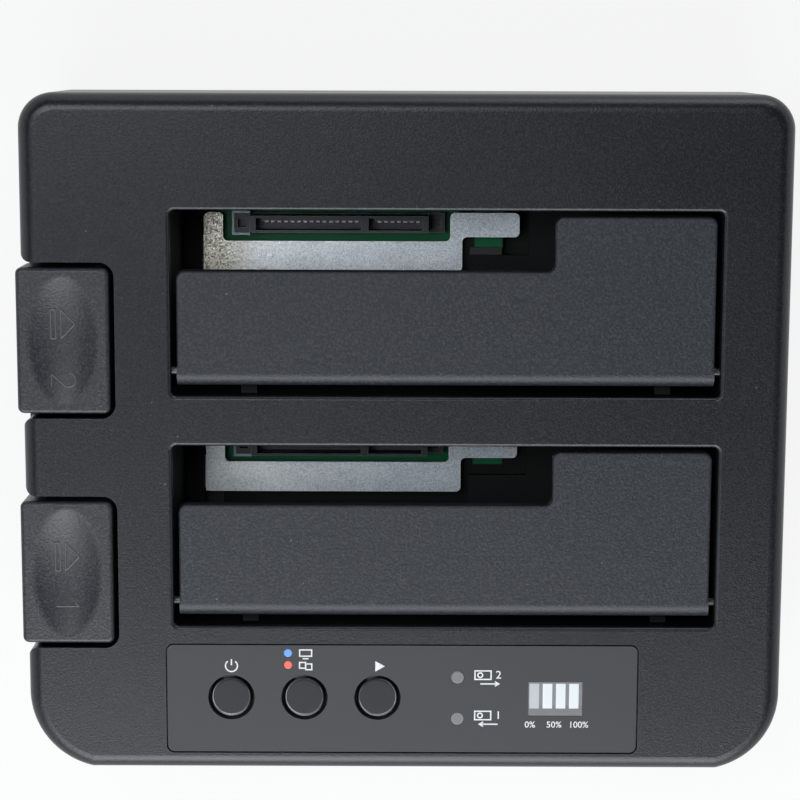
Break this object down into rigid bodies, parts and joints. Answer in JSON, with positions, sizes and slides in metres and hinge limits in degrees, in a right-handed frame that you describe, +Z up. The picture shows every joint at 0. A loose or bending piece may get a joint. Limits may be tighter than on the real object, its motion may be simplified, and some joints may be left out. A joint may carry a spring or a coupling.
{
  "type": "drive duplicator",
  "caption": "Desktop drive duplicator with sloping top, spring flaps over the drive wells, side eject keys that tilt steel levers, and a push-button panel.",
  "frame": {"origin": "middle of the footprint, on the surface that the feet stand on", "axes": "+X to the right as the user sits, +Y to the rear where the ports are, +Z up"},
  "size_m": [0.1458, 0.1308, 0.0661],
  "materials": {
    "cover_plastic": "satin black, finely textured",
    "case_plastic": "matt black, finely textured",
    "bay_plastic": "matt black",
    "flap_plastic": "black with a leathery grain",
    "key_plastic": "black with a leathery grain",
    "panel_plastic": "smooth black",
    "button_plastic": "polished black",
    "socket_plastic": "black moulding",
    "header_plastic": "dark grey moulding",
    "galvanised_sheet": "galvanised, frosted sparkle",
    "steel_pin": "bright steel",
    "screw_steel": "dark zinc",
    "plated_contacts": "gold plated",
    "tinned_steel": "tinned",
    "board_green": "green solder mask",
    "chip_black": "moulded black",
    "capacitor_can": "bright can",
    "foot_rubber": "soft black",
    "grey_lens": "grey frosted",
    "mode_lens": "frosted, blue and red",
    "display_black": "smooth",
    "bar_white": "frosted white",
    "lamp_white": "clear",
    "ribbon_grey": "grey ribbon"
  },
  "bodies": {
    "housing": {"top_cover": "cover_plastic", "bottom_case": "case_plastic", "drive_bay_1": "bay_plastic", "drive_bay_2": "bay_plastic", "control_panel": "panel_plastic", "drive_socket_1": "socket_plastic", "drive_socket_2": "socket_plastic", "usb_tongue": "socket_plastic", "esata_port": "socket_plastic", "power_jack": "socket_plastic", "ribbon_sockets": "socket_plastic", "push_switches": "socket_plastic", "board_header": "header_plastic", "flap_pin_1": "steel_pin", "flap_pin_2": "steel_pin", "lever_shaft_1": "steel_pin", "lever_shaft_2": "steel_pin", "flap_spring_1": "steel_pin", "flap_spring_2": "steel_pin", "key_spring_1": "steel_pin", "key_spring_2": "steel_pin", "case_screws": "screw_steel", "bay_screws": "screw_steel", "board_screws": "screw_steel", "control_screws": "screw_steel", "riser_standoffs": "screw_steel", "socket_contacts_1": "plated_contacts", "socket_contacts_2": "plated_contacts", "jack_pin": "plated_contacts", "socket_clip_1": "tinned_steel", "socket_clip_2": "tinned_steel", "usb_shell": "tinned_steel", "main_board": "board_green", "riser_board": "board_green", "control_board": "board_green", "controller_chips": "chip_black", "capacitors": "capacitor_can", "rubber_feet": "foot_rubber", "drive_light_1": "grey_lens", "drive_light_2": "grey_lens", "mode_lights": "mode_lens", "progress_display": "display_black", "progress_bars": "bar_white", "panel_lamps": "lamp_white", "control_ribbon": "ribbon_grey"},
    "flap_1": {"flap_1": "flap_plastic"},
    "eject_key_1": {"eject_key_1": "key_plastic"},
    "eject_lever_1": {"eject_lever_1": "galvanised_sheet"},
    "flap_2": {"flap_2": "flap_plastic"},
    "eject_key_2": {"eject_key_2": "key_plastic"},
    "eject_lever_2": {"eject_lever_2": "galvanised_sheet"},
    "power_button": {"power_button": "button_plastic"},
    "mode_button": {"mode_button": "button_plastic"},
    "start_button": {"start_button": "button_plastic"}
  },
  "joints": [
    {"name": "flap_1_swing", "type": "hinge", "parent": "housing", "child": "flap_1", "pos_m": [0.008, -0.03214, 0.05038], "axis": [-1, 0, 0], "range_deg": [0, 96], "stiffness_Nm_per_rad": 0.008, "springref_deg": -34.38, "deforming": ["flap_spring_1"]},
    {"name": "eject_key_1_press", "type": "slide", "parent": "housing", "child": "eject_key_1", "axis": [0, 0, -1], "range_m": [0, 0.0028], "stiffness_N_per_m": 700, "springref_m": -0.004, "deforming": ["key_spring_1"]},
    {"name": "eject_lever_1_tilt", "type": "hinge", "parent": "housing", "child": "eject_lever_1", "pos_m": [-0.05, -0.0122, 0.0145], "axis": [0, -1, 0], "range_deg": [0, 11.6]},
    {"name": "flap_2_swing", "type": "hinge", "parent": "housing", "child": "flap_2", "pos_m": [0.008, 0.01286, 0.05623], "axis": [-1, 0, 0], "range_deg": [0, 96], "stiffness_Nm_per_rad": 0.008, "springref_deg": -34.38, "deforming": ["flap_spring_2"]},
    {"name": "eject_key_2_press", "type": "slide", "parent": "housing", "child": "eject_key_2", "axis": [0, 0, -1], "range_m": [0, 0.0028], "stiffness_N_per_m": 700, "springref_m": -0.004, "deforming": ["key_spring_2"]},
    {"name": "eject_lever_2_tilt", "type": "hinge", "parent": "housing", "child": "eject_lever_2", "pos_m": [-0.05, 0.0328, 0.02034], "axis": [0, -1, 0], "range_deg": [0, 11.6]},
    {"name": "power_button_press", "type": "slide", "parent": "housing", "child": "power_button", "axis": [0, 0.1288, -0.9917], "range_m": [0, 0.0006], "stiffness_N_per_m": 500, "springref_m": -0.001},
    {"name": "mode_button_press", "type": "slide", "parent": "housing", "child": "mode_button", "axis": [0, 0.1288, -0.9917], "range_m": [0, 0.0006], "stiffness_N_per_m": 500, "springref_m": -0.001},
    {"name": "start_button_press", "type": "slide", "parent": "housing", "child": "start_button", "axis": [0, 0.1288, -0.9917], "range_m": [0, 0.0006], "stiffness_N_per_m": 500, "springref_m": -0.001}
  ],
  "couplings": [
    {"joint": "eject_lever_1_tilt", "follows": "eject_key_1_press", "rad_per_m": 70.547},
    {"joint": "eject_lever_2_tilt", "follows": "eject_key_2_press", "rad_per_m": 70.547}
  ]
}
